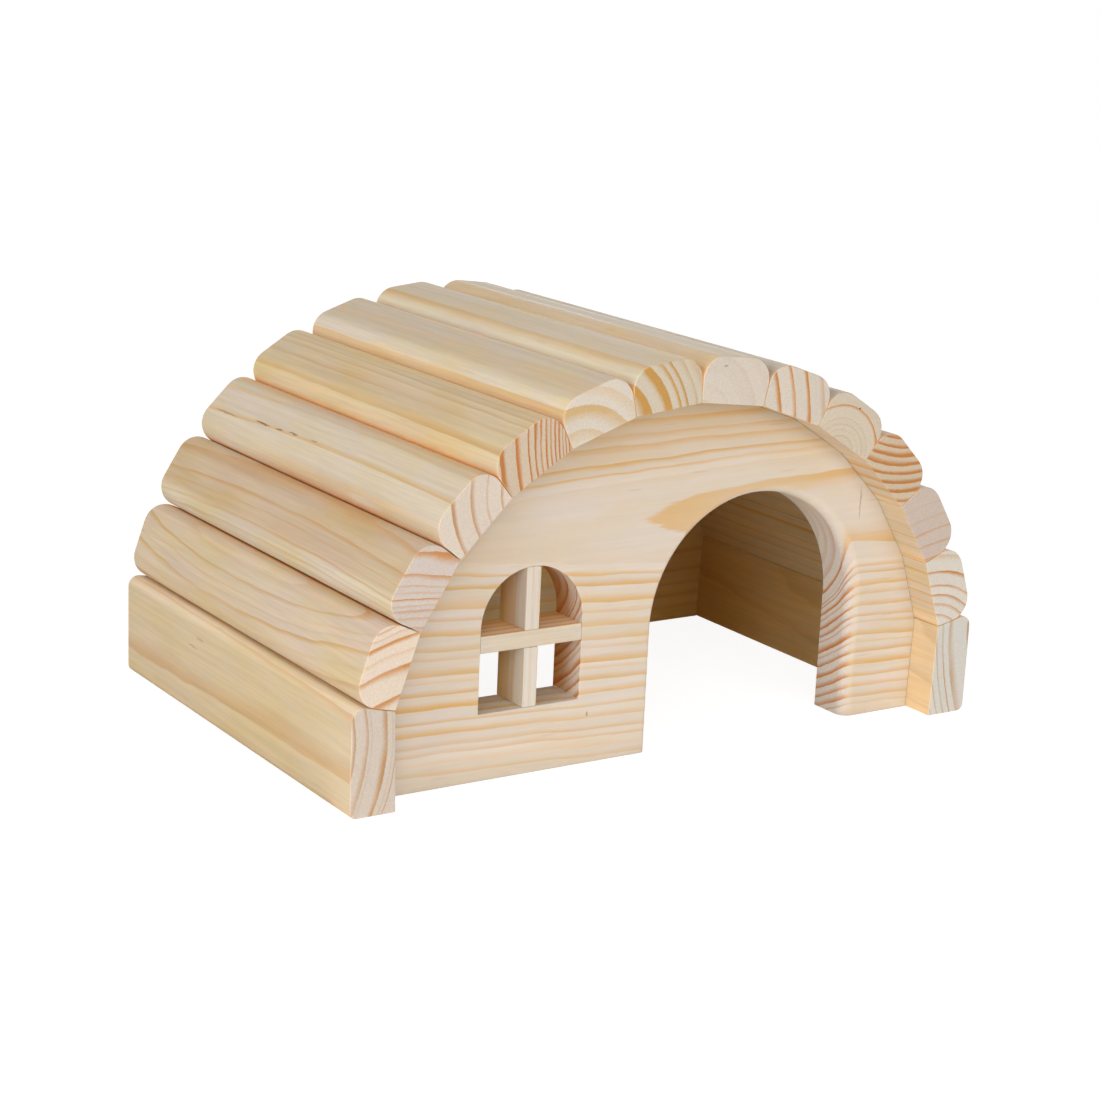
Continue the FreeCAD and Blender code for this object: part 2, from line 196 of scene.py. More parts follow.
def arched_board(name, low, high):
    """A board sawn to the twelve flats of the roof and to the lean of the side boards."""
    board = planed_block(name, low, high)
    for number in range(1, LOG_COUNT + 1):
        _, outward, seat = seat_of(number)
        saw(board, seat, outward)
    for side in (-1, 1):
        shoulder = (side * SHOULDER_X, 0, SHOULDER_Z)
        saw(board, shoulder, (side * math.cos(SIDE_LEAN), 0, -math.sin(SIDE_LEAN)))
    return board


def in_door_mouth(corner):
    """Whether a corner lies on the doorway's edge in the panel's front face."""
    x = corner.x - DOOR_X
    z = max(corner.z - DOOR_SPRING_Z, 0)
    on_outline = abs(math.hypot(x, z) - DOOR_RADIUS) < TOUCHING
    return on_outline and abs(corner.y - FRONT_Y) < TOUCHING


def sand_door_unevenly(panel):
    """Shrink or swell the doorway's rounding, from the left jamb over to the right one."""
    zone = DOOR_ROUNDING + 4 * TOUCHING
    for vertex in panel.data.vertices:
        x = vertex.co.x - DOOR_X
        z = max(vertex.co.z - DOOR_SPRING_Z, 0)
        reach = math.hypot(x, z) - DOOR_RADIUS
        depth = vertex.co.y - FRONT_Y
        if not (-TOUCHING < reach < zone and depth < zone):
            continue
        # The turn is 0 all down the left jamb and 1 down the right one, eased between them.
        turn = 0.5 + math.atan2(x, z) / math.pi
        share = turn * turn * (3 - 2 * turn)
        rounding = LEAST_ROUNDING + share * (MOST_ROUNDING - LEAST_ROUNDING)
        growth = (rounding / DOOR_ROUNDING - 1) * reach
        outward = Vector((x, 0, z)).normalized()
        vertex.co += growth * outward
        vertex.co.y = FRONT_Y + depth * rounding / DOOR_ROUNDING


front_panel = arched_board("pine_front_panel", panel_low, panel_high)
cut_with(front_panel, arched_plug(
    DOOR_X, DOOR_RADIUS, DOOR_SPRING_Z, DOOR_FOOT_Z, FRONT_Y - OVERCUT, PANEL_BACK_Y + OVERCUT,
))
cut_with(front_panel, arched_plug(
    WINDOW_X, WINDOW_RADIUS, WINDOW_SPRING_Z, WINDOW_SILL_Z,
    FRONT_Y - OVERCUT, PANEL_BACK_Y + OVERCUT,
))
round_edges(
    front_panel, lambda start, end: in_door_mouth(start) and in_door_mouth(end),
    DOOR_ROUNDING, segments=8,
)
sand_door_unevenly(front_panel)
sanded(front_panel, PANEL_ARRIS)


# The finish: plain sanded pine. Its yearly rings are cylinders round the heart of the tree, so
# that the lines on a face and the arcs on an end come from the same wood.


def feed(tree, socket, value):
    """Link a socket into another, or set it to a number, colour or vector."""
    if isinstance(value, bpy.types.NodeSocket):
        tree.links.new(value, socket)
    else:
        socket.default_value = value


def figure(tree, operation, *values):
    """A Math node; its result."""
    node = tree.nodes.new("ShaderNodeMath")
    node.operation = operation
    for socket, value in zip(node.inputs, values):
        feed(tree, socket, value)
    return node.outputs[0]


def vector(tree, operation, *values, result=0):
    """A Vector Math node; its result, or its length with result=1."""
    node = tree.nodes.new("ShaderNodeVectorMath")
    node.operation = operation
    sockets = [node.inputs[0], node.inputs["Scale"]] if operation == "SCALE" else node.inputs
    for socket, value in zip(sockets, values):
        feed(tree, socket, value)
    return node.outputs[result]


def eased(tree, value, low, high, from_value=0.0, to_value=1.0):
    """Turn smoothly from one value to another while the input goes from low to high."""
    node = tree.nodes.new("ShaderNodeMapRange")
    node.interpolation_type = "SMOOTHSTEP"
    settings = (value, low, high, from_value, to_value)
    for socket, setting in zip(node.inputs, settings):
        feed(tree, socket, setting)
    return node.outputs[0]


def cloud(tree, position, seed, scale, along=1.0, detail=1.0, colour=False):
    """Soft random patches, with their scale across the grain, and its share along the grain."""
    node = tree.nodes.new("ShaderNodeTexNoise")
    node.noise_dimensions = "4D"
    feed(tree, node.inputs["Vector"], vector(tree, "MULTIPLY", position, (1, along, 1)))
    feed(tree, node.inputs["W"], seed)
    feed(tree, node.inputs["Scale"], scale)
    feed(tree, node.inputs["Detail"], detail)
    return node.outputs[1 if colour else 0]


def blended(tree, share, first, second, kind="MIX"):
    """Lay a share of the second colour over the first, or multiply the first by it."""
    node = tree.nodes.new("ShaderNodeMix")
    node.data_type = "RGBA"
    node.blend_type = kind
    feed(tree, node.inputs[0], share)
    feed(tree, node.inputs[6], first)
    feed(tree, node.inputs[7], second)
    return node.outputs[2]


def shaded(tree, share, colour, light):
    """Make a colour lighter or darker by a figure near 1."""
    grey = vector(tree, "SCALE", (1.0, 1.0, 1.0), light)
    return blended(tree, share, colour, grey, "MULTIPLY")


def effect(name, takes, gives):
    """An empty shader group with named sockets: its tree, its inputs and its outputs."""
    tree = bpy.data.node_groups.new(name, "ShaderNodeTree")
    for socket_name, kind in takes.items():
        tree.interface.new_socket(socket_name, in_out="INPUT", socket_type=kind)
    for socket_name, kind in gives.items():
        tree.interface.new_socket(socket_name, in_out="OUTPUT", socket_type=kind)
    given = tree.nodes.new("NodeGroupInput").outputs
    result = tree.nodes.new("NodeGroupOutput").inputs
    return tree, given, result


def placed(tree, effect_name, **values):
    """Put an effect in another tree, its inputs given by name with _ for each space."""
    node = tree.nodes.new("ShaderNodeGroup")
    node.node_tree = bpy.data.node_groups[effect_name]
    for name, value in values.items():
        feed(tree, node.inputs[name.replace("_", " ")], value)
    return node.outputs


NUMBER = "NodeSocketFloat"
VECTOR = "NodeSocketVector"
COLOUR = "NodeSocketColor"

# How far a point lies from the heart of the tree, which leans and bows along the grain (Y).
# The rings waver slowly along the board, ripple on top of that, and have a ragged edge: each
# unevenness has a scale across the grain, and a share of that along it.
UNEVENNESS = {"Waver": (30.0, 0.28), "Ripple": (120.0, 0.5), "Rag": (800.0, 0.12)}
NOISE_MIDDLE = (0.5, 0.5, 0.5)

tree, given, result = effect(
    "Heart distance",
    {"Position": VECTOR, "Heart": VECTOR, "Lean": VECTOR, "Bow": VECTOR,
     "Waver": VECTOR, "Ripple": VECTOR, "Rag": VECTOR, "Seed": NUMBER},
    {"Radius": NUMBER},
)
position, seed = given["Position"], given["Seed"]
along = tree.nodes.new("ShaderNodeSeparateXYZ")
feed(tree, along.inputs[0], position)
leaning = vector(tree, "SCALE", given["Lean"], along.outputs["Y"])
along_squared = figure(tree, "MULTIPLY", along.outputs["Y"], along.outputs["Y"])
bowing = vector(tree, "SCALE", given["Bow"], along_squared)
from_heart = vector(tree, "SUBTRACT", position, given["Heart"])
from_heart = vector(tree, "SUBTRACT", from_heart, leaning)
from_heart = vector(tree, "SUBTRACT", from_heart, bowing)
for amount, (scale, share_along) in UNEVENNESS.items():
    drift = cloud(tree, position, seed, scale, share_along, colour=True)
    drift = vector(tree, "SUBTRACT", drift, NOISE_MIDDLE)
    drift = vector(tree, "MULTIPLY", drift, given[amount])
    from_heart = vector(tree, "ADD", from_heart, drift)
across = vector(tree, "MULTIPLY", from_heart, (1, 0, 1))
feed(tree, result["Radius"], vector(tree, "LENGTH", across, result=1))

# One year's growth: pale spring wood that darkens into a line with a sharp outer edge. The
# line swells and fades along the grain. A time of the year is a share of it.
LINE_DARKEST = 0.94
LINE_EDGE = 0.96
SPRING_BEGINS = 0.955
LINE_SWELL = (0.55, 1.45)
LINE_FADE = (0.65, 1.1)
SEED_STEP = 17.7

tree, given, result = effect(
    "Growth rings",
    {"Position": VECTOR, "Ring": NUMBER, "Line Width": NUMBER, "Seed": NUMBER},
    {"Latewood": NUMBER, "Year Tone": NUMBER},
)
position, seed = given["Position"], given["Seed"]
season = figure(tree, "FRACT", given["Ring"])
year = figure(tree, "FLOOR", given["Ring"])
year_seed = figure(tree, "MULTIPLY_ADD", seed, SEED_STEP, year)
luck = tree.nodes.new("ShaderNodeTexWhiteNoise")
luck.noise_dimensions = "1D"
feed(tree, luck.inputs["W"], year_seed)
feed(tree, result["Year Tone"], luck.outputs["Value"])
swell = cloud(tree, position, year_seed, scale=45.0, along=0.35)
swell = eased(tree, swell, 0.25, 0.75, *LINE_SWELL)
width = figure(tree, "MULTIPLY", swell, given["Line Width"])
line_start = figure(tree, "SUBTRACT", LINE_EDGE, width)
late = eased(tree, season, line_start, LINE_DARKEST)
end_of_year = eased(tree, season, SPRING_BEGINS, 1.0)
late = figure(tree, "SUBTRACT", late, end_of_year)
fade = cloud(tree, position, year_seed, scale=70.0, along=0.25)
fade = eased(tree, fade, 0.3, 0.65, *LINE_FADE)
late = figure(tree, "MULTIPLY", late, fade)
feed(tree, result["Latewood"], figure(tree, "MAXIMUM", late, 0.0))

# The fine grain: fibres and short resin ducts along Y, the pores seen in sawn ends, and the
# soft patches of colour in a sanded face.
FIBRE_ALONG = 0.03
DUCT_SCALE = 420.0
DUCT_ALONG = 0.09
DRIFT_SEED_STEP = 31.7

tree, given, result = effect(
    "Fibres",
    {"Position": VECTOR, "Seed": NUMBER},
    {"Streak": NUMBER, "Duct": NUMBER, "Pores": NUMBER, "Patch": NUMBER, "Drift": NUMBER},
)
position, seed = given["Position"], given["Seed"]
fine = cloud(tree, position, seed, scale=2100.0, along=FIBRE_ALONG, detail=3.0)
broad = cloud(tree, position, seed, scale=600.0, along=FIBRE_ALONG, detail=2.0)
both = figure(tree, "MULTIPLY_ADD", broad, 0.5, figure(tree, "MULTIPLY", fine, 0.5))
feed(tree, result["Streak"], eased(tree, both, 0.3, 0.7))
duct_cells = tree.nodes.new("ShaderNodeTexVoronoi")
drawn_out = vector(tree, "MULTIPLY", position, (1, DUCT_ALONG, 1))
feed(tree, duct_cells.inputs["Vector"], drawn_out)
feed(tree, duct_cells.inputs["Scale"], DUCT_SCALE)
duct = eased(tree, duct_cells.outputs["Distance"], 0.05, 0.14, 1.0, 0.0)
feed(tree, result["Duct"], duct)
pores = cloud(tree, position, seed, scale=2300.0, detail=3.0)
feed(tree, result["Pores"], pores)
patch = cloud(tree, position, seed, scale=75.0, along=0.35, detail=3.0)
feed(tree, result["Patch"], eased(tree, patch, 0.36, 0.64))
drift_seed = figure(tree, "ADD", seed, DRIFT_SEED_STEP)
drift = cloud(tree, position, drift_seed, scale=120.0, along=0.3, detail=3.0)
feed(tree, result["Drift"], eased(tree, drift, 0.38, 0.66))

# Where the surface cuts across the grain, and where a sanded arris turns from one to the other.
tree, given, result = effect(
    "End grain", {"Normal": VECTOR, "Grain": VECTOR}, {"Across": NUMBER, "Arris": NUMBER}
)
facing = vector(tree, "DOT_PRODUCT", given["Normal"], given["Grain"], result=1)
facing = figure(tree, "ABSOLUTE", facing)
feed(tree, result["Across"], eased(tree, facing, 0.35, 0.95))
rising = eased(tree, facing, 0.12, 0.5)
falling = eased(tree, facing, 0.8, 0.97)
feed(tree, result["Arris"], figure(tree, "SUBTRACT", rising, falling))

# The faces that look into the house get painted shade, a brown that deepens towards the back
# right corner. The painted shade ends a hair inside the wood.
SHADE_ENDS = 0.05 * MM
UNSHADED_BEGINS = 0.3 * MM
BACK_RIGHT_CORNER = (ROOF_RADIUS, -PANEL_BACK_Y, 0)
CORNER_DARKEST = 10.0 * MM
CORNER_REACH = 68.0 * MM

tree, given, result = effect(
    "Painted inner shade", {"Position": VECTOR}, {"Inside": NUMBER, "In Corner": NUMBER}
)
from_axis = vector(tree, "SUBTRACT", given["Position"], (0, 0, ROOF_CENTRE_Z))
radially = vector(tree, "MULTIPLY", from_axis, (1, 0, 1))
radially = vector(tree, "LENGTH", radially, result=1)
lengthwise = vector(tree, "MULTIPLY", from_axis, (0, 1, 0))
lengthwise = vector(tree, "LENGTH", lengthwise, result=1)
under_roof = eased(tree, radially, ROOF_RADIUS + SHADE_ENDS, ROOF_RADIUS + UNSHADED_BEGINS, 1, 0)
between_panels = eased(
    tree, lengthwise, SHADE_ENDS - PANEL_BACK_Y, UNSHADED_BEGINS - PANEL_BACK_Y, 1.0, 0.0
)
feed(tree, result["Inside"], figure(tree, "MULTIPLY", under_roof, between_panels))
from_corner = vector(tree, "DISTANCE", given["Position"], BACK_RIGHT_CORNER, result=1)
in_corner = eased(tree, from_corner, CORNER_DARKEST, CORNER_REACH, 1.0, 0.0)
feed(tree, result["In Corner"], in_corner)

# Painted shade in and around the window's recess, deepening from front to back. Depths are
# shares of the block's reach from its middle.
BLOCK_EDGE = 0.1 * MM
SHADE_FROM = -1.1
DARKEST_AT = 0.9

tree, given, result = effect(
    "Painted recess shade", {"Position": VECTOR, "Middle": VECTOR, "Reach": VECTOR}, {"Shade": NUMBER}
)
from_middle = vector(tree, "SUBTRACT", given["Position"], given["Middle"])
depth_share = tree.nodes.new("ShaderNodeSeparateXYZ")
from_middle_share = vector(tree, "DIVIDE", from_middle, given["Reach"])
feed(tree, depth_share.inputs[0], from_middle_share)
outside = vector(tree, "ABSOLUTE", from_middle)
outside = vector(tree, "SUBTRACT", outside, given["Reach"])
beyond = tree.nodes.new("ShaderNodeSeparateXYZ")
feed(tree, beyond.inputs[0], outside)
furthest = figure(tree, "MAXIMUM", beyond.outputs["X"], beyond.outputs["Y"])
furthest = figure(tree, "MAXIMUM", furthest, beyond.outputs["Z"])
within = eased(tree, furthest, -BLOCK_EDGE, BLOCK_EDGE, 1.0, 0.0)
deep = eased(tree, depth_share.outputs["Y"], SHADE_FROM, DARKEST_AT)
feed(tree, result["Shade"], figure(tree, "MULTIPLY", within, deep))

# A small dark blot drawn out along the grain: resin, a pin knot, a bruise.
BLOT_RAGGEDNESS = 0.9 * MM

tree, given, result = effect(
    "Blot", {"Position": VECTOR, "Place": VECTOR, "Size": VECTOR}, {"Darkness": NUMBER}
)
ragged = cloud(tree, given["Position"], seed=2.0, scale=900.0, along=0.5, detail=2.0, colour=True)
ragged = vector(tree, "SUBTRACT", ragged, NOISE_MIDDLE)
ragged = vector(tree, "SCALE", ragged, BLOT_RAGGEDNESS)
from_blot = vector(tree, "SUBTRACT", given["Position"], given["Place"])
from_blot = vector(tree, "ADD", from_blot, ragged)
from_blot = vector(tree, "DIVIDE", from_blot, given["Size"])
far = vector(tree, "LENGTH", from_blot, result=1)
feed(tree, result["Darkness"], eased(tree, far, 0.55, 1.15, 1.0, 0.0))

# The colour, roughness and relief of sanded pine, from all of the above. The lights say how
# dark and how light the fibres, the pores and the years make the wood.
MOST_WARM = 0.8
MOST_COOL = 0.7
MOST_DUCT = 0.12
RESIN_BROWN = (0.30, 0.16, 0.06, 1)
# The colour of the painted highlight along the sanded arrises.
ARRIS_HIGHLIGHT = (0.80, 0.64, 0.44, 1)
STREAK_LIGHT = (0.93, 1.045)
PORE_LIGHT = (0.92, 1.06)
YEAR_LIGHT = (0.975, 1.02)
ROUGHNESS = 0.66
LINE_ROUGHNESS = -0.12
STREAK_ROUGHNESS = 0.10
LINE_RELIEF = 0.5
PORE_RELIEF = 1.2

tree, given, result = effect(
    "Sanded pine",
    {"Position": VECTOR, "Ring": NUMBER, "Boldness": NUMBER, "Across": NUMBER, "Arris": NUMBER,
     "Pale": COLOUR, "Amber": COLOUR, "Warm": COLOUR, "Cool": COLOUR,
     "End Pale": COLOUR, "End Amber": COLOUR,
     "Face Lines": NUMBER, "End Lines": NUMBER, "Line Width": NUMBER,
     "Streaks": NUMBER, "Arris Paleness": NUMBER, "Seed": NUMBER},
    {"Color": COLOUR, "Roughness": NUMBER, "Height": NUMBER},
)
position, seed = given["Position"], given["Seed"]
rings = placed(
    tree, "Growth rings", Position=position, Ring=given["Ring"],
    Line_Width=given["Line Width"], Seed=seed,
)
line = figure(tree, "MULTIPLY", rings["Latewood"], given["Boldness"])
grain = placed(tree, "Fibres", Position=position, Seed=seed)

warm_share = figure(tree, "MULTIPLY", grain["Patch"], MOST_WARM)
cool_share = figure(tree, "MULTIPLY", grain["Drift"], MOST_COOL)
line_share = figure(tree, "MULTIPLY", line, given["Face Lines"])
streak_light = eased(tree, grain["Streak"], 0.0, 1.0, *STREAK_LIGHT)
duct_share = figure(tree, "MULTIPLY", grain["Duct"], MOST_DUCT)
face = blended(tree, warm_share, given["Pale"], given["Warm"])
face = blended(tree, cool_share, face, given["Cool"])
face = blended(tree, line_share, face, given["Amber"])
face = shaded(tree, given["Streaks"], face, streak_light)
face = blended(tree, duct_share, face, RESIN_BROWN)

end_line_share = figure(tree, "MULTIPLY", line, given["End Lines"])
pore_light = eased(tree, grain["Pores"], 0.25, 0.75, *PORE_LIGHT)
end = blended(tree, end_line_share, given["End Pale"], given["End Amber"])
end = shaded(tree, 1.0, end, pore_light)

year_light = eased(tree, rings["Year Tone"], 0.0, 1.0, *YEAR_LIGHT)
# A painted highlight along the sanded arrises, as strong as the piece asks.
arris_share = figure(tree, "MULTIPLY", given["Arris"], given["Arris Paleness"])
colour = blended(tree, given["Across"], face, end)
colour = shaded(tree, 1.0, colour, year_light)
colour = blended(tree, arris_share, colour, ARRIS_HIGHLIGHT)
feed(tree, result["Color"], colour)

rough = figure(tree, "MULTIPLY_ADD", rings["Latewood"], LINE_ROUGHNESS, ROUGHNESS)
rough = figure(tree, "MULTIPLY_ADD", grain["Streak"], STREAK_ROUGHNESS, rough)
feed(tree, result["Roughness"], rough)
relief = figure(tree, "MULTIPLY_ADD", rings["Latewood"], LINE_RELIEF, grain["Streak"])
pore_depth = figure(tree, "MULTIPLY", grain["Pores"], given["Across"])
relief = figure(tree, "MULTIPLY_ADD", pore_depth, PORE_RELIEF, relief)
feed(tree, result["Height"], relief)


def seen(red, green, blue):
    """A colour as a screen shows it, where 255 is full, made linear for the shader."""
    parts = [part / 255 for part in (red, green, blue)]
    linear = [
        part / 12.92 if part <= 0.04045 else ((part + 0.055) / 1.055) ** 2.4
        for part in parts
    ]
    return (*linear, 1.0)


# How a piece is turned so that its grain runs along Y.
ALONG_X = (0, 0, -math.pi / 2)
ALONG_Y = (0, 0, 0)
ALONG_Z = (math.pi / 2, 0, 0)


def drawn_curve(tree, value, points):
    """Read a value off a curve drawn with straight lines through points from 0 to 1."""
    node = tree.nodes.new("ShaderNodeFloatCurve")
    curve = node.mapping.curves[0]
    curve.points[0].location = points[0]
    curve.points[-1].location = points[-1]
    for point in points[1:-1]:
        curve.points.new(*point)
    for point in curve.points:
        point.handle_type = "VECTOR"
    node.mapping.update()
    feed(tree, node.inputs["Value"], value)
    return node.outputs[0]


def counted_rings(tree, radius, rings):
    """The ring a point lies in, counted outwards from the heart, and how bold that ring is."""
    edges = sorted(rings)
    start = edges[0] - (edges[1] - edges[0])
    reach = edges[-1] - start
    share = tree.nodes.new("ShaderNodeMapRange")
    feed(tree, share.inputs["Value"], radius)
    feed(tree, share.inputs["From Min"], start * MM)
    feed(tree, share.inputs["From Max"], edges[-1] * MM)
    count = len(edges)
    steps = [(0, 0)]
    steps += [((edge - start) / reach, (step + 1) / count) for step, edge in enumerate(edges)]
    ring = figure(tree, "MULTIPLY", drawn_curve(tree, share.outputs[0], steps), count)
    middle = figure(tree, "ADD", figure(tree, "FLOOR", ring), 0.5)
    middle = figure(tree, "DIVIDE", middle, count)
    strengths = [((step + 0.5) / count, rings[edge]) for step, edge in enumerate(edges)]
    boldness = drawn_curve(
        tree, middle, [(0, strengths[0][1])] + strengths + [(1, strengths[-1][1])]
    )
    return ring, boldness


def across_grain(pair, unit=1.0):
    """A vector that lies across the grain, from its parts along X and Z."""
    return (pair[0] * unit, 0, pair[1] * unit)


RAGGED_EDGE = (0.3, 0.3)
# Painted shade inside the house, and its darker brown towards the back right corner.
INNER_SHADE = (1.06, 0.95, 0.70, 1)
CORNER_SHADE = (0.70, 0.48, 0.17, 1)
BLOT_BROWN = (0.16, 0.08, 0.035, 1)


def pine(name, grain, turn, heart, rings, seed, place=(0, 0, 0), lean=(0, 0), bow=(0, 0),
         waver=(1.5, 1.5), ripple=(0.8, 0.8), line_width=0.38, face_lines=0.6, end_lines=1.2,
         streaks=1.0, arris=0.0, tints=(), blots=(), recess_shade=None,
         pale=(226, 212, 192), amber=(220, 178, 112), warm=(226, 206, 168),
         cool=(220, 202, 188), end_pale=(212, 201, 188), end_amber=(198, 136, 72)):
    """A pine finish, with lengths in millimetres in a frame whose Y runs along the grain.

    Each ring has its distance from the heart and its boldness. The heart leans and bows along
    the grain, and the rings waver and ripple. A tint is an axis, where on it the tint begins
    and is full, and a colour; most tints are painted light or shade. A blot is a place, a size
    and a darkness. The recess shade is painted shade in a block in the house's own frame, by its
    middle and its reach, and a colour. arris sets the painted highlight on sanded arrises.
    """
    material = bpy.data.materials.new(name)
    material.use_nodes = True
    tree = material.node_tree
    shader = tree.nodes["Principled BSDF"]
    shader.inputs["IOR"].default_value = 1.45
    shader.inputs["Specular IOR Level"].default_value = 0.45
    shader.inputs["Subsurface Weight"].default_value = 0.4
    shader.inputs["Subsurface Radius"].default_value = (1.0, 0.5, 0.22)
    shader.inputs["Subsurface Scale"].default_value = 1.3 * MM

    coordinates = tree.nodes.new("ShaderNodeTexCoord")
    mapping = tree.nodes.new("ShaderNodeMapping")
    mapping.vector_type = "TEXTURE"
    mapping.inputs["Location"].default_value = place
    mapping.inputs["Rotation"].default_value = turn
    tree.links.new(coordinates.outputs["Object"], mapping.inputs["Vector"])
    position = mapping.outputs[0]

    radius = placed(
        tree, "Heart distance", Position=position, Seed=seed, Heart=across_grain(heart, MM),
        Lean=across_grain(lean), Bow=across_grain(bow, 1 / MM), Waver=across_grain(waver, MM),
        Ripple=across_grain(ripple, MM), Rag=across_grain(RAGGED_EDGE, MM),
    )["Radius"]
    ring, boldness = counted_rings(tree, radius, rings)
    cut = placed(tree, "End grain", Normal=coordinates.outputs["Normal"], Grain=grain)
    wood = placed(
        tree, "Sanded pine", Position=position, Ring=ring, Boldness=boldness,
        Across=cut["Across"], Arris=cut["Arris"], Pale=seen(*pale), Amber=seen(*amber),
        Warm=seen(*warm), Cool=seen(*cool), End_Pale=seen(*end_pale),
        End_Amber=seen(*end_amber), Face_Lines=face_lines, End_Lines=end_lines,
        Line_Width=line_width, Streaks=streaks, Arris_Paleness=arris, Seed=seed,
    )
    # Painted shade on the faces inside the house, deepest towards the back right corner.
    house = placed(tree, "Painted inner shade", Position=coordinates.outputs["Object"])
    inner_shade_colour = blended(tree, house["In Corner"], INNER_SHADE, CORNER_SHADE)
    colour = blended(tree, house["Inside"], wood["Color"], inner_shade_colour, "MULTIPLY")

    spot = tree.nodes.new("ShaderNodeSeparateXYZ")
    feed(tree, spot.inputs[0], position)
    not_tinted = figure(tree, "MAXIMUM", cut["Across"], house["Inside"])
    for axis, begins, full, tint in tints:
        share = eased(tree, spot.outputs[axis], begins * MM, full * MM)
        share = figure(tree, "SUBTRACT", share, not_tinted)
        share = figure(tree, "MAXIMUM", share, 0.0)
        colour = blended(tree, share, colour, (*tint, 1), "MULTIPLY")
    # Painted shade in the window's recess, deepening towards the back.
    if recess_shade:
        middle, reach, tint = recess_shade
        block = placed(
            tree, "Painted recess shade", Position=coordinates.outputs["Object"],
            Middle=middle, Reach=reach,
        )
        colour = blended(tree, block["Shade"], colour, seen(*tint), "MULTIPLY")
    for blot_place, blot_size, darkness in blots:
        mark = placed(
            tree, "Blot", Position=position, Place=[part * MM for part in blot_place],
            Size=[part * MM for part in blot_size],
        )
        share = figure(tree, "MULTIPLY", mark["Darkness"], darkness)
        colour = blended(tree, share, colour, BLOT_BROWN)

    tree.links.new(colour, shader.inputs["Base Color"])
    tree.links.new(wood["Roughness"], shader.inputs["Roughness"])
    bump = tree.nodes.new("ShaderNodeBump")
    bump.inputs["Strength"].default_value = 0.3
    bump.inputs["Distance"].default_value = 0.05 * MM
    tree.links.new(wood["Height"], bump.inputs["Height"])
    tree.links.new(bump.outputs[0], shader.inputs["Normal"])
    return material


def even_rings(first, spacing, count, boldness=0.8):
    """Rings at an even spacing, each as bold as the next."""
    return {first + spacing * step: boldness for step in range(count)}


def glued_in(piece, material, node):
    """Give a piece its finish, and let it stand for its node of the frame."""
    piece.data.materials.clear()
    piece.data.materials.append(material)
    piece.data.name = piece.name
    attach(piece, "root")
    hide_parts(node)


# The window's jambs get painted shade, from a hair behind the front face, deepening to the back.
jamb_middle = (WINDOW_X, (FRONT_Y + PANEL_BACK_Y) / 2 + 0.3 * MM, WINDOW_SPRING_Z)
jamb_reach = (WINDOW_RADIUS + 1.0 * MM, 6.0 * MM, WINDOW_RADIUS + 6.3 * MM)

# The panel has painted shade, a little darker under the roof's overhang and at its foot.
front_rings = {
    24.0: 0.2, 27.0: 0.15, 30.0: 0.25, 33.0: 0.3, 36.0: 0.75, 37.6: 0.1, 38.4: 0.7, 39.3: 0.75,
    41.2: 0.75, 42.5: 0.5, 44.5: 0.75, 46.6: 0.6, 47.9: 0.55, 50.6: 0.75, 51.8: 0.4, 53.9: 0.7,
    56.6: 0.9, 59.2: 0.6, 61.6: 0.7, 64.1: 0.6, 65.7: 0.5, 67.8: 0.2, 70.0: 0.5,
}
front_pine = pine(
    "front panel pine", grain=(1, 0, 0), turn=ALONG_X, heart=(18.76, 61.0),
    lean=(0.022, -0.025), rings=front_rings, waver=(0.25, 1.4), ripple=(0.1, 1.5),
    line_width=0.6, face_lines=1.05, end_lines=1.4, streaks=0.35, seed=3.0,
    pale=(217, 205, 190), amber=(217, 174, 106), warm=(218, 202, 180),
    cool=(220, 209, 200), end_pale=(217, 208, 198), end_amber=(200, 130, 66),
    # Painted shade under the roof's overhang and at the foot.
    tints=[("Z", 70, 84, (0.92, 0.86, 0.74)), ("Z", 9, 0, (0.94, 0.92, 0.86))],
    blots=[((54.5, 61, 59.5), (2, 0.25, 5), 0.45), ((54.5, -23.1, 13), (2, 0.35, 0.7), 0.5)],
    recess_shade=(jamb_middle, jamb_reach, (258, 194, 116)),
)
glued_in(front_panel, front_pine, "front_panel")


# ------------------------------
# Back panel
#
# The same blank as the front panel, left closed. It stands as far from the logs' back ends as
# the front panel stands from their front ends.
# ------------------------------

back_panel = arched_board("pine_back_panel", *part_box("back_panel"))
sanded(back_panel, PANEL_ARRIS)
back_pine = pine(
    "back panel pine", grain=(1, 0, 0), turn=ALONG_X, heart=(-18.0, 30.0),
    lean=(-0.02, 0.03), rings=even_rings(26, 2.7, 18), waver=(2.0, 2.0), line_width=0.4,
    face_lines=0.7, seed=8.0,
    pale=(224, 206, 174), amber=(214, 168, 100), warm=(226, 200, 156),
)
glued_in(back_panel, back_pine, "back_panel")


# ------------------------------
# Glazing bars
#
# Two square pine bars, halved into each other where they cross. The level one reaches from
# jamb to jamb, and the upright one stands on the sill, its head sawn to the window's arch.
# ------------------------------

BAR_ARRIS = 0.3 * MM

level_low, level_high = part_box("window_bar_horizontal")
upright_low, upright_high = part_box("window_bar_vertical")
lap_y = (level_low.y + level_high.y) / 2

level_bar = planed_block("pine_window_bar_level", level_low, level_high)
level_notch = planed_block(
    "notch",
    Vector((upright_low.x, lap_y, level_low.z - OVERCUT)),
    Vector((upright_high.x, level_high.y + OVERCUT, level_high.z + OVERCUT)),
)
cut_with(level_bar, level_notch)
sanded(level_bar, BAR_ARRIS)

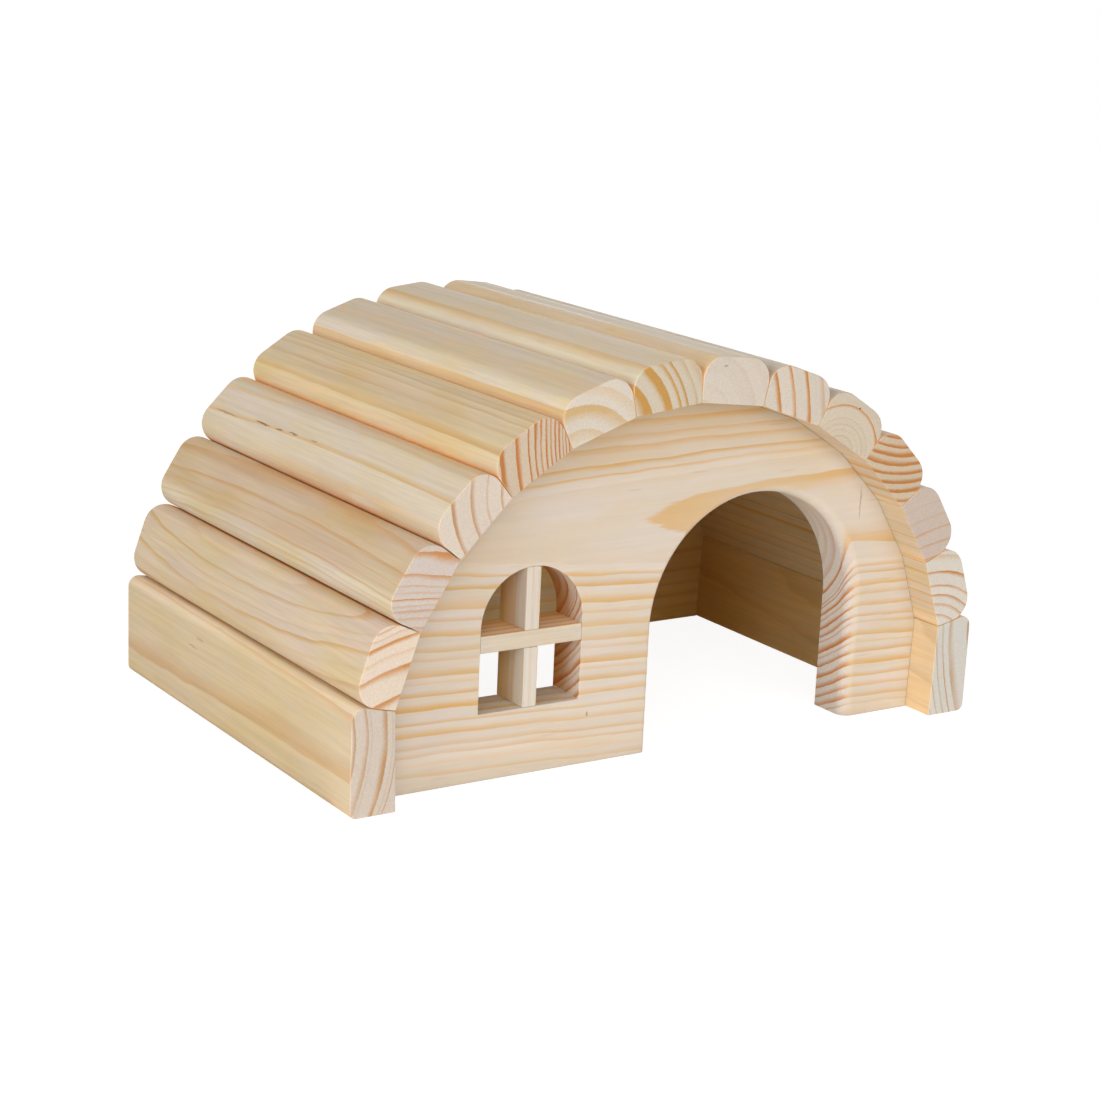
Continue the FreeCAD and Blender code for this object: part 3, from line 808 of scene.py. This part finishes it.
upright_bar = planed_block("pine_window_bar_upright", upright_low, upright_high)
upright_notch = planed_block(
    "notch",
    Vector((upright_low.x - OVERCUT, level_low.y - OVERCUT, level_low.z)),
    Vector((upright_high.x + OVERCUT, lap_y, level_high.z)),
)
cut_with(upright_bar, upright_notch)
window_plug = arched_plug(
    WINDOW_X, WINDOW_RADIUS, WINDOW_SPRING_Z, WINDOW_SILL_Z - OVERCUT,
    level_low.y - OVERCUT, level_high.y + OVERCUT,
)
cut_with(upright_bar, window_plug, operation="INTERSECT")
sanded(upright_bar, BAR_ARRIS)

# The bars get painted shade, from a hair behind their front faces, deepening to the back.
bars_middle = (WINDOW_X, lap_y + 0.4 * MM, WINDOW_SPRING_Z)
bars_reach = (WINDOW_RADIUS + 5.0 * MM, (level_high.y - level_low.y) / 2, 30.0 * MM)

# The level bar's top face is a warm reddish brown.
level_pine = pine(
    "level bar pine", grain=(1, 0, 0), turn=ALONG_X, heart=(90, 37), seed=12.0,
    rings={34.0: 0.1, 35.25: 0.1, 36.35: 1.0, 39.5: 0.5, 42.0: 0.6, 45.0: 0.5},
    waver=(0.5, 0.5), ripple=(0.4, 0.4), face_lines=1.0, arris=0.3,
    recess_shade=(bars_middle, bars_reach, (255, 234, 186)),
    pale=(214, 203, 187), amber=(186, 120, 70), warm=(214, 199, 174), cool=(213, 202, 187),
    tints=[("Z", 36.6, 36.9, (1.25, 1.02, 0.78))],
)
upright_pine = pine(
    "upright bar pine", grain=(0, 0, 1), turn=ALONG_Z, heart=(-70, 40),
    rings=even_rings(24, 1.8, 12), face_lines=0.5, seed=13.0, arris=0.3,
    recess_shade=(bars_middle, bars_reach, (268, 232, 160)),
    pale=(221, 212, 202), amber=(210, 178, 130), warm=(219, 207, 188), cool=(218, 211, 202),
)
glued_in(level_bar, level_pine, "window_bar_horizontal")
glued_in(upright_bar, upright_pine, "window_bar_vertical")


# ------------------------------
# Side boards
#
# Two pine boards that stand on the floor, their grain from front to back. Inside they lean
# with the panels, on top they are bevelled for the first and the last log, and outside their
# long edges are sanded round. The left one is the right one turned about.
# ------------------------------

BOARD_TOP_ROUNDING = 3.0 * MM
BOARD_FOOT_ROUNDING = 2.0 * MM
END_ARRIS = 0.4 * MM

board_low, board_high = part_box("side_board_right")
shoulder = Vector((SHOULDER_X, 0, SHOULDER_Z))
board_top_z = shoulder.z + (board_high.x - shoulder.x) * math.tan(ROOF_START_ANGLE)

board_block_high = Vector((board_high.x, board_high.y, board_top_z))
right_board = planed_block("pine_side_board_right", board_low, board_block_high)
saw(right_board, shoulder, (-math.cos(SIDE_LEAN), 0, math.sin(SIDE_LEAN)))
saw(right_board, shoulder, (-math.sin(ROOF_START_ANGLE), 0, math.cos(ROOF_START_ANGLE)))


def lengthwise_at(x, z):
    """For round_edges: the front-to-back edge that runs through a point of the section."""
    def chosen(start, end):
        return all(
            math.hypot(corner.x - x, corner.z - z) < TOUCHING for corner in (start, end)
        )
    return chosen


top_angle = math.pi / 2 - ROOF_START_ANGLE
top_offset = BOARD_TOP_ROUNDING / math.tan(top_angle / 2)
round_edges(right_board, lengthwise_at(board_high.x, board_top_z), top_offset, segments=8)
round_edges(right_board, lengthwise_at(board_high.x, 0), BOARD_FOOT_ROUNDING, segments=6)
sanded(right_board, END_ARRIS)


def copied(piece, name):
    """Another piece of the same shape, with a mesh of its own."""
    copy = piece.copy()
    copy.data = piece.data.copy()
    copy.name = name
    bpy.context.scene.collection.objects.link(copy)
    return copy


left_board = copied(right_board, "pine_side_board_left")
left_board.data.transform(Matrix.Rotation(math.pi, 4, "Z"))

# Painted light makes the left board's upper edge paler, where the log above shades it, and
# painted shade makes its foot a little darker.
left_board_pine = pine(
    "left board pine", grain=(0, 1, 0), turn=ALONG_Y, heart=(-136.8, 20.4),
    lean=(0.01, 0.02), waver=(1.2, 1.2), line_width=0.45, face_lines=0.65, seed=21.0, arris=0.5,
    rings={43.5: 0.8, 46.8: 0.7, 47.8: 0.2, 52.0: 1.0, 53.5: 0.3, 54.5: 0.8},
    pale=(212, 193, 161), amber=(200, 155, 102), warm=(210, 188, 144), cool=(211, 192, 165),
    end_lines=1.0, end_pale=(206, 194, 182), end_amber=(186, 144, 100),
    # Painted light on the upper edge and painted shade at the foot.
    tints=[("Z", 24, 27, (1.3, 1.32, 1.4)), ("Z", 7, 0, (0.94, 0.93, 0.9))],
    blots=[((-95, 18, 21.5), (1, 2.5, 0.4), 0.3), ((-95, 22, 18.5), (1, 3, 0.3), 0.35)],
)
right_board_pine = pine(
    "right board pine", grain=(0, 1, 0), turn=ALONG_Y, heart=(160.9, 25),
    lean=(0.03, 0), waver=(1.2, 1.2), line_width=0.3, face_lines=0.75, seed=22.0, arris=0.5,
    rings={65.0: 0.8, 71.5: 0.6, 73.6: 0.7, 75.7: 0.6, 77.8: 0.6, 79.9: 0.6},
    pale=(224, 198, 158), amber=(204, 168, 120), warm=(222, 190, 140), cool=(218, 196, 168),
    end_pale=(208, 204, 197), end_amber=(182, 146, 104),
)
glued_in(left_board, left_board_pine, "side_board_left")
glued_in(right_board, right_board_pine, "side_board_right")


# ------------------------------
# Roof logs
#
# Twelve pine bars of one section, flat below and rounded above, their flanks bevelled towards
# the middle of the arch. Each is glued down on the two panels and against its neighbours,
# and the open seams between them widen outwards.
# ------------------------------

LOG_THICKNESS = 12.0 * MM
LOG_ROUNDING = 6.0 * MM
SEAM_RELIEF = math.radians(0.25)

log_low, log_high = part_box("roof_log_06")
half_base = ROOF_RADIUS * math.sin(LOG_PITCH / 2)
flank_lean = LOG_PITCH / 2 - SEAM_RELIEF
half_crown = half_base + LOG_THICKNESS * math.tan(flank_lean)

log_blank = planed_block(
    "log blank",
    Vector((-half_base, log_low.y, 0)), Vector((half_base, log_high.y, LOG_THICKNESS)),
)
open_faces(log_blank, lambda normal: normal.z > LEVEL)
bpy.ops.transform.resize(
    value=(half_crown / half_base, 1, 1), center_override=(0, 0, LOG_THICKNESS)
)
bpy.ops.object.mode_set(mode="OBJECT")
crown_angle = math.pi / 2 - flank_lean
crown_offset = LOG_ROUNDING / math.tan(crown_angle / 2)
for crown_x in (-half_crown, half_crown):
    round_edges(log_blank, lengthwise_at(crown_x, LOG_THICKNESS), crown_offset, segments=12)
sanded(log_blank, END_ARRIS)

# How each log grew. The heart of the tree is given from the middle of the log's seat, to the
# right and outwards; each ring has its distance from the heart and its boldness. The right and
# the left flank have tints of their own: painted light and shade on each flank, mixed with
# the wood's own tone on that side. A slim log, in millimetres, leaves a wider seam.
LOG_GROWTH = {
    1: dict(
        heart=(-57.1, -28), lean=(-0.0238, 0), bow=(0.0014, 0),
        waver=(2.5, 2.5), ripple=(1.2, 1.2), slim=0.1,
        rings={53.2: 0.7, 59.8: 0.9, 63.2: 0.25, 66.4: 1.0, 68.0: 0.3, 69.6: 0.45, 72.0: 1.0,
               75.0: 0.35, 78.0: 0.3, 81.0: 0.6},
        face_lines=0.8, end_lines=1.3,
        right_flank_light_and_tone=(1.16, 1.12, 1.12), left_flank_light_and_tone=(0.97, 0.95, 0.92),
        pale=(215, 197, 170), warm=(213, 191, 148), cool=(213, 193, 177),
        amber=(201, 163, 108), end_pale=(225, 209, 192), end_amber=(202, 144, 84),
    ),
    2: dict(
        heart=(-68.8, -31), bow=(-0.00055, 0),
        waver=(2.2, 2.2), ripple=(1.3, 1.3), slim=0.35,
        rings={67.8: 0.6, 70.3: 0.7, 72.6: 0.4, 74.4: 0.7, 75.6: 0.3, 77.2: 0.9, 78.8: 0.3,
               80.3: 0.45, 82.9: 0.9, 88.4: 1.0, 91.0: 0.7},
        line_width=0.5, face_lines=0.75, end_lines=1.0,
        right_flank_light_and_tone=(1.26, 1.24, 1.22), left_flank_light_and_tone=(1.09, 1.25, 1.45),
        pale=(207, 185, 153), warm=(201, 172, 126), cool=(204, 180, 158),
        amber=(196, 150, 96), end_pale=(206, 194, 185),
    ),
    3: dict(
        heart=(18.5, -6), lean=(-0.0168, 0), bow=(-0.00028, 0), slim=0.1,
        rings={9.6: 0.5, 14.2: 0.6, 18.1: 0.5, 22.3: 0.65, 27.4: 0.9, 32.0: 0.5},
        line_width=0.24, face_lines=0.8,
        right_flank_light_and_tone=(1.16, 0.94, 0.72), left_flank_light_and_tone=(0.89, 0.90, 0.92),
        pale=(226, 210, 186), warm=(225, 206, 168), cool=(224, 208, 193),
        end_pale=(216, 203, 189), end_amber=(190, 146, 104),
        blots=[((-2.2, 33, 12), (0.27, 4.5, 1), 0.8), ((-1.9, 24, 12), (0.25, 2.3, 1), 0.7),
               ((-1.5, 16.5, 12), (0.27, 2.8, 1), 0.7), ((-1.2, 5.5, 12), (0.25, 2, 1), 0.45),
               ((-3.4, 53, 12), (0.3, 7, 1), 0.4)],
    ),
    4: dict(
        heart=(58.5, -21),
        rings={52.6: 0.6, 53.4: 0.45, 54.3: 0.6, 55.2: 0.6, 56.1: 0.5, 57.2: 0.6, 58.3: 0.5,
               59.5: 0.5, 60.8: 0.55, 62.2: 0.5, 63.8: 0.55, 65.6: 0.5, 69.0: 0.5, 73.4: 0.8},
        line_width=0.5, face_lines=0.9, end_lines=2.4,
        right_flank_light_and_tone=(1.3, 1.24, 1.03), left_flank_light_and_tone=(1.0, 1.02, 0.98),
        pale=(227, 205, 167), warm=(224, 194, 141), cool=(223, 200, 172),
        amber=(204, 160, 100), end_pale=(206, 188, 166), end_amber=(188, 122, 60),
    ),
    5: dict(
        heart=(-8.5, -7), rings={6.0: 0.4, 11.2: 0.7, 17.0: 1.0, 21.5: 0.4, 26.0: 0.3},
        line_width=0.65, face_lines=0.8,
        right_flank_light_and_tone=(1.36, 1.08, 0.66), left_flank_light_and_tone=(1.03, 1.09, 1.16),
        pale=(225, 206, 178), warm=(226, 202, 158), cool=(223, 204, 184),
        amber=(224, 182, 122), end_pale=(215, 205, 192), end_amber=(208, 176, 128),
    ),
    6: dict(
        heart=(-19.5, -3),
        rings={9.0: 0.6, 14.8: 0.9, 20.6: 1.0, 23.3: 0.55, 25.3: 0.55, 28.2: 0.25, 31.0: 0.2},
        line_width=0.58, face_lines=0.8, end_lines=2.0,
        right_flank_light_and_tone=(1.4, 1.32, 1.12), left_flank_light_and_tone=(1.03, 1.1, 1.14),
        pale=(228, 211, 184), warm=(228, 206, 162), cool=(226, 209, 190),
        amber=(222, 172, 106), end_pale=(206, 194, 175), end_amber=(194, 148, 76),
    ),
    7: dict(
        heart=(-9.5, -4), rings=even_rings(5, 4, 6, 0.3), end_lines=0.4,
        left_flank_light_and_tone=(1.2, 1.1, 0.97),
        pale=(222, 206, 180), warm=(222, 198, 152), cool=(220, 203, 184),
        blots=[((-4, -64, 9.5), (0.6, 2, 0.35), 0.5)],
    ),
    8: dict(
        heart=(-52.5, -25),
        rings={50.5: 0.3, 55.1: 0.8, 59.7: 0.85, 64.3: 1.0, 68.9: 0.5, 73.5: 0.5},
        line_width=0.3, end_lines=1.3,
    ),
    9: dict(
        heart=(0, -3), waver=(0.7, 0.7), ripple=(0.4, 0.4),
        rings={2.0: 0.3, 3.5: 0.3, 5.0: 0.35, 6.5: 0.35, 8.0: 0.4, 9.5: 0.25, 13.0: 0.9,
               17.0: 0.3},
        line_width=0.22, end_lines=1.3, end_pale=(207, 194, 175),
        blots=[((-0.5, -64, 10), (0.4, 2, 0.4), 0.8)],
    ),
    10: dict(
        heart=(-22, 33), rings=even_rings(25.1, 2.4, 10, 1.0),
        line_width=0.6, face_lines=1.1, end_lines=1.5,
        end_pale=(203, 185, 160), end_amber=(186, 124, 64),
    ),
    11: dict(
        heart=(56.5, -14),
        rings={46.6: 0.6, 50.4: 0.7, 54.2: 0.6, 58.0: 0.6, 61.8: 0.3, 65.6: 0.2},
        line_width=0.3, face_lines=1.1, end_lines=0.9, end_pale=(199, 183, 171),
    ),
    12: dict(
        heart=(17.5, -5), waver=(0.7, 0.7), ripple=(0.4, 0.4),
        rings={9.8: 0.5, 12.8: 0.6, 15.8: 0.6, 18.4: 0.7, 21.1: 0.65, 25.0: 1.0, 29.5: 0.4},
        line_width=0.32, face_lines=1.1, end_pale=(215, 208, 197),
    ),
}

# Painted shade darkens the wood in the last half millimetre above the seat, and painted warm
# light lifts the flanks where they face each other across a seam.
SEAT_SHADE = (0.85, 0.81, 0.76)
SEAM_LIGHT = (1.25, 1.02, 0.82)
# How strong the painted highlight on the logs' sanded arrises is.
LOG_ARRIS_HIGHLIGHT = 0.6
FIRST_LOG_SEED = 30.0


def roof_log(number, slim=0.03, right_flank_light_and_tone=(1.18, 1.08, 0.95), left_flank_light_and_tone=(1, 1, 1),
             waver=(0.9, 0.9), ripple=(0.5, 0.5), **growth):
    """Copy the blank to a log's place on the arch, in the wood that the log was sawn from."""
    lean, _, seat = seat_of(number)
    log = copied(log_blank, f"pine_roof_log_{number:02d}")
    slimmed = 1 - slim * MM / (2 * half_crown)
    log.data.transform(
        Matrix.Translation(seat) @ Matrix.Rotation(lean, 4, "Y")
        @ Matrix.Diagonal((slimmed, 1, 1, 1))
    )
    tints = [
        # Painted light and shade on each flank, mixed with the wood's own tone.
        ("X", 5.5, 8.5, right_flank_light_and_tone),
        ("X", -4, -7, left_flank_light_and_tone),
        # Painted shade above the seat and painted warm light at the seams.
        ("Z", 0.5, 0.1, SEAT_SHADE),
        ("X", 9.85, 10.2, SEAM_LIGHT),
        ("X", -9.85, -10.2, SEAM_LIGHT),
    ]
    log_pine = pine(
        f"roof log {number:02d} pine", grain=(0, 1, 0), turn=(0, lean, 0), place=seat,
        waver=waver, ripple=ripple, arris=LOG_ARRIS_HIGHLIGHT, tints=tints,
        seed=FIRST_LOG_SEED + number, **growth,
    )
    glued_in(log, log_pine, f"roof_log_{number:02d}")


for log_number, log_growth in LOG_GROWTH.items():
    roof_log(log_number, **log_growth)
bpy.data.objects.remove(log_blank)


# ------------------------------
# The studio
#
# A round pale floor under soft lamps. The camera sees it and the sky as white, with the
# house's shadow on it, and little light comes back from them into the house.
# ------------------------------

FLOOR_RADIUS = 0.8
FLOOR_DROP = 0.1 * MM
FLOOR_GLOW = 0.90
FLOOR_MATT = (0.3, 0.3, 0.3, 1)
FLOOR_BOUNCE = (0.8, 0.72, 0.6, 1)
WHITE = (1, 1, 1, 1)
SKY_GLOW = 1.0
SKY_LIGHT = 0.10
HOUSE_MIDDLE = Vector((0, 0, 0.045))

bpy.ops.object.select_all(action="DESELECT")
bpy.ops.mesh.primitive_circle_add(
    vertices=96, radius=FLOOR_RADIUS, fill_type="NGON", location=(0, 0, -FLOOR_DROP)
)
floor = bpy.context.object
floor.name = "studio_floor"


def studio_node(tree, kind, **settings):
    """A node of a studio shader, its inputs given by name."""
    node = tree.nodes.new(kind)
    for name, value in settings.items():
        node.inputs[name].default_value = value
    return node


def shown_or_lighting(tree, looking, lighting, shown):
    """One shader for the rays that look at it, and another for the light that it gives."""
    choice = tree.nodes.new("ShaderNodeMixShader")
    tree.links.new(looking, choice.inputs[0])
    tree.links.new(lighting.outputs[0], choice.inputs[1])
    tree.links.new(shown.outputs[0], choice.inputs[2])
    return choice.outputs[0]


floor_finish = bpy.data.materials.new("studio floor")
floor_finish.use_nodes = True
floor_tree = floor_finish.node_tree
floor_tree.nodes.remove(floor_tree.nodes["Principled BSDF"])
floor_out = floor_tree.nodes["Material Output"]
floor_path = floor_tree.nodes.new("ShaderNodeLightPath")
floor_glow = studio_node(floor_tree, "ShaderNodeEmission", Strength=FLOOR_GLOW)
floor_matt = studio_node(floor_tree, "ShaderNodeBsdfDiffuse", Color=FLOOR_MATT)
floor_bounce = studio_node(floor_tree, "ShaderNodeBsdfDiffuse", Color=FLOOR_BOUNCE)
floor_shown = floor_tree.nodes.new("ShaderNodeAddShader")
floor_tree.links.new(floor_glow.outputs[0], floor_shown.inputs[0])
floor_tree.links.new(floor_matt.outputs[0], floor_shown.inputs[1])
looking_at_floor = figure(
    floor_tree, "MAXIMUM", floor_path.outputs["Is Camera Ray"],
    floor_path.outputs["Is Transmission Ray"],
)
floor_shader = shown_or_lighting(floor_tree, looking_at_floor, floor_bounce, floor_shown)
floor_tree.links.new(floor_shader, floor_out.inputs["Surface"])
floor.data.materials.append(floor_finish)

world = bpy.data.worlds.new("studio")
bpy.context.scene.world = world
world.use_nodes = True
sky_tree = world.node_tree
sky_tree.nodes.clear()
sky_out = sky_tree.nodes.new("ShaderNodeOutputWorld")
sky_path = sky_tree.nodes.new("ShaderNodeLightPath")
white_sky = studio_node(sky_tree, "ShaderNodeBackground", Color=WHITE, Strength=SKY_GLOW)
soft_sky = studio_node(sky_tree, "ShaderNodeBackground", Color=WHITE, Strength=SKY_LIGHT)
looking_at_sky = figure(
    sky_tree, "MAXIMUM", sky_path.outputs["Is Camera Ray"],
    figure(sky_tree, "MAXIMUM", sky_path.outputs["Is Glossy Ray"],
           sky_path.outputs["Is Transmission Ray"]),
)
sky_shader = shown_or_lighting(sky_tree, looking_at_sky, soft_sky, white_sky)
sky_tree.links.new(sky_shader, sky_out.inputs["Surface"])


def soft_box(name, place, width, depth, power, towards=HOUSE_MIDDLE):
    """A flat studio lamp that is turned towards a point."""
    lamp_data = bpy.data.lights.new(name, "AREA")
    lamp_data.shape = "RECTANGLE"
    lamp_data.size = width
    lamp_data.size_y = depth
    lamp_data.energy = power
    lamp = bpy.data.objects.new(name, lamp_data)
    bpy.context.scene.collection.objects.link(lamp)
    lamp.location = place
    aim = Vector(towards) - Vector(place)
    lamp.rotation_euler = aim.to_track_quat("-Z", "Y").to_euler()
    lamp.visible_camera = False


soft_box("lamp on the left", (-1.45, -0.35, 0.42), 0.9, 0.9, power=12.6)
soft_box("lamp by the camera", (-0.90, -1.25, 0.70), 0.9, 0.9, power=7.8)
soft_box("lamp in front", (0.10, -1.40, 0.48), 0.9, 0.6, power=4.9)
soft_box("lamp above the front", (-0.10, -0.80, 1.25), 0.9, 0.9, power=2.3)
soft_box("lamp behind", (1.10, 1.20, 0.60), 0.9, 0.9, power=8)
soft_box(
    "lit table before the house", (0, -0.405, 0), 1.5, 0.7, power=1.5, towards=(0, -0.405, 1)
)

CAMERA_PLACE = (-0.353764, -0.535002, 0.206203)
CAMERA_LENS = 80.277
CAMERA_SENSOR = 36.0
CAMERA_NEAREST = 10.0 * MM
HEADING_DEGREES = -33.456
DOWNWARD_DEGREES = 14.550
ROLL_DEGREES = 2.557

camera_data = bpy.data.cameras.new("camera")
camera_data.sensor_width = CAMERA_SENSOR
camera_data.lens = CAMERA_LENS
camera_data.clip_start = CAMERA_NEAREST
camera = bpy.data.objects.new("camera", camera_data)
bpy.context.scene.collection.objects.link(camera)
camera.location = CAMERA_PLACE
heading = Matrix.Rotation(math.radians(HEADING_DEGREES), 3, "Z")
tilt = Matrix.Rotation(math.radians(90 - DOWNWARD_DEGREES), 3, "X")
roll = Matrix.Rotation(math.radians(ROLL_DEGREES), 3, "Z")
camera.rotation_euler = (heading @ tilt @ roll).to_euler()
bpy.context.scene.camera = camera
bpy.context.scene.view_settings.view_transform = "Standard"
